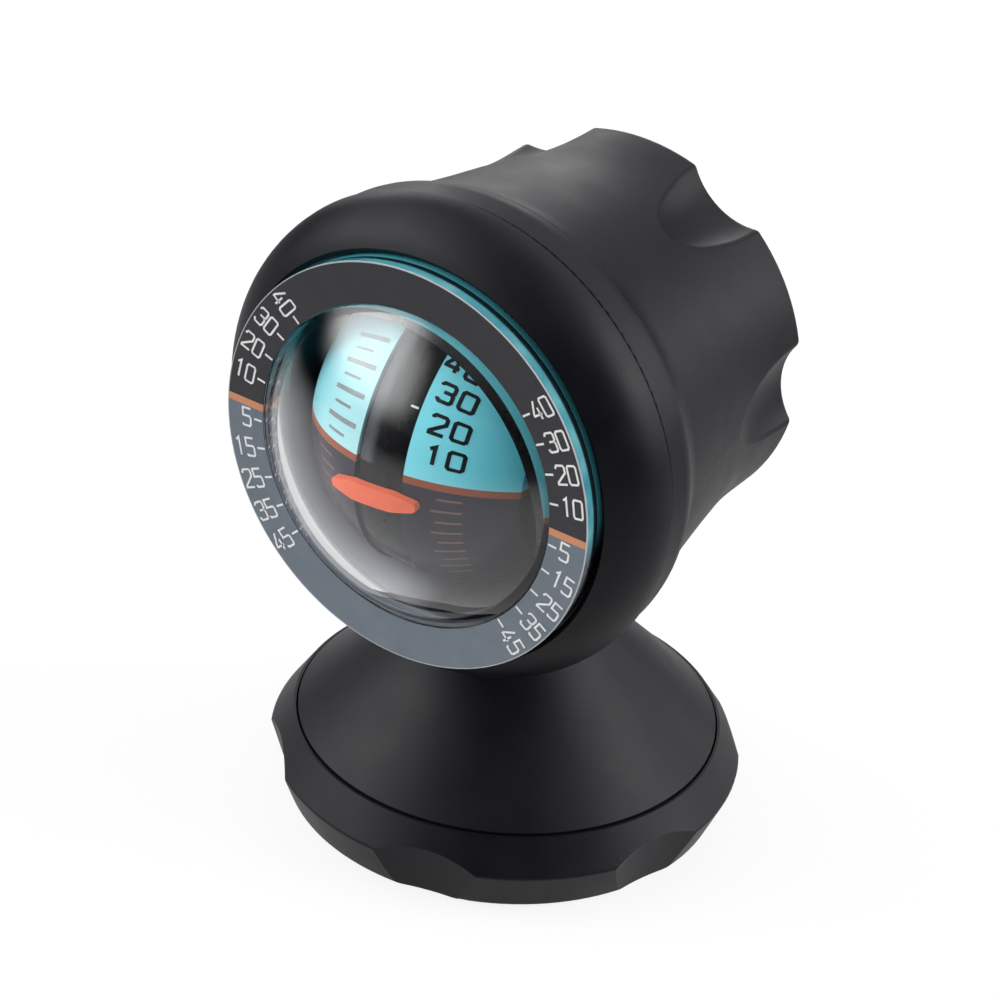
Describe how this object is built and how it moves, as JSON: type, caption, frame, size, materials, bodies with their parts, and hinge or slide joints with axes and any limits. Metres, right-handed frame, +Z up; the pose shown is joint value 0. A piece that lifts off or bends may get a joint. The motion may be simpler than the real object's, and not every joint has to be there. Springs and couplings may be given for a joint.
{
  "type": "inclinometer",
  "caption": "Round dashboard inclinometer head with a clear domed dial and a floating drum, on a ball joint above a conical foot.",
  "frame": {"origin": "centre of the sticky pad's underside, on the surface that the foot stands on", "axes": "+Z up through the foot and the ball, the dial faces -Y, its right-hand side is +X"},
  "size_m": [0.0644, 0.068, 0.0936],
  "materials": {
    "black_plastic": "fine matt moulded texture",
    "pad_foam": "double-sided foam tape",
    "steel": "zinc plated",
    "natural_nylon": "plain moulded",
    "seal_rubber": "plain",
    "clear_acrylic": "clear, polished",
    "dial_print": "printed, smooth",
    "cup_plastic": "smooth moulded",
    "bush_brass": "turned",
    "plate_black": "smooth moulded",
    "pointer_orange": "moulded, smooth",
    "drum_print": "printed in two colours"
  },
  "bodies": {
    "base": {"adhesive_pad": "pad_foam", "foot": "black_plastic", "cone_cover": "black_plastic", "cover_screws": "steel", "seat_springs": "steel"},
    "swivel_seat": {"ball_seat": "natural_nylon"},
    "liner": {"ball_liner": "natural_nylon"},
    "head": {"ball_stud": "black_plastic", "stud_washer": "steel", "stud_nut": "steel", "housing": "black_plastic", "bezel": "black_plastic", "clamp_ring": "black_plastic", "clamp_gasket": "seal_rubber", "dome_lens": "clear_acrylic", "scale_ring": "dial_print", "capsule_cup": "cup_plastic", "capsule_gasket": "seal_rubber", "rear_bush": "bush_brass", "fill_plug": "seal_rubber"},
    "roll_frame": {"centre_plate": "plate_black", "pointer": "pointer_orange", "roll_axle": "steel", "axle_clip": "steel", "axle_bushes": "bush_brass", "plate_weight": "steel"},
    "slope_drum": {"left_drum": "drum_print", "right_drum": "drum_print", "left_drum_cover": "plate_black", "right_drum_cover": "plate_black", "pitch_axle": "steel", "drum_weights": "bush_brass"}
  },
  "joints": [
    {"name": "head_swivel", "type": "hinge", "parent": "base", "child": "swivel_seat", "pos_m": [0, 0, 0.0241], "axis": [0, 0, 1], "continuous": true},
    {"name": "head_nod", "type": "hinge", "parent": "swivel_seat", "child": "liner", "pos_m": [0, 0, 0.0241], "axis": [1, 0, 0], "range_deg": [-12, 12]},
    {"name": "head_lean", "type": "hinge", "parent": "liner", "child": "head", "pos_m": [0, 0, 0.0241], "axis": [0, 1, 0], "range_deg": [-12, 12]},
    {"name": "float_roll", "type": "hinge", "parent": "head", "child": "roll_frame", "pos_m": [0, -0.0129, 0.0614], "axis": [0, 1, 0], "continuous": true},
    {"name": "float_slope", "type": "hinge", "parent": "roll_frame", "child": "slope_drum", "pos_m": [0, -0.0129, 0.0614], "axis": [1, 0, 0], "continuous": true}
  ]
}
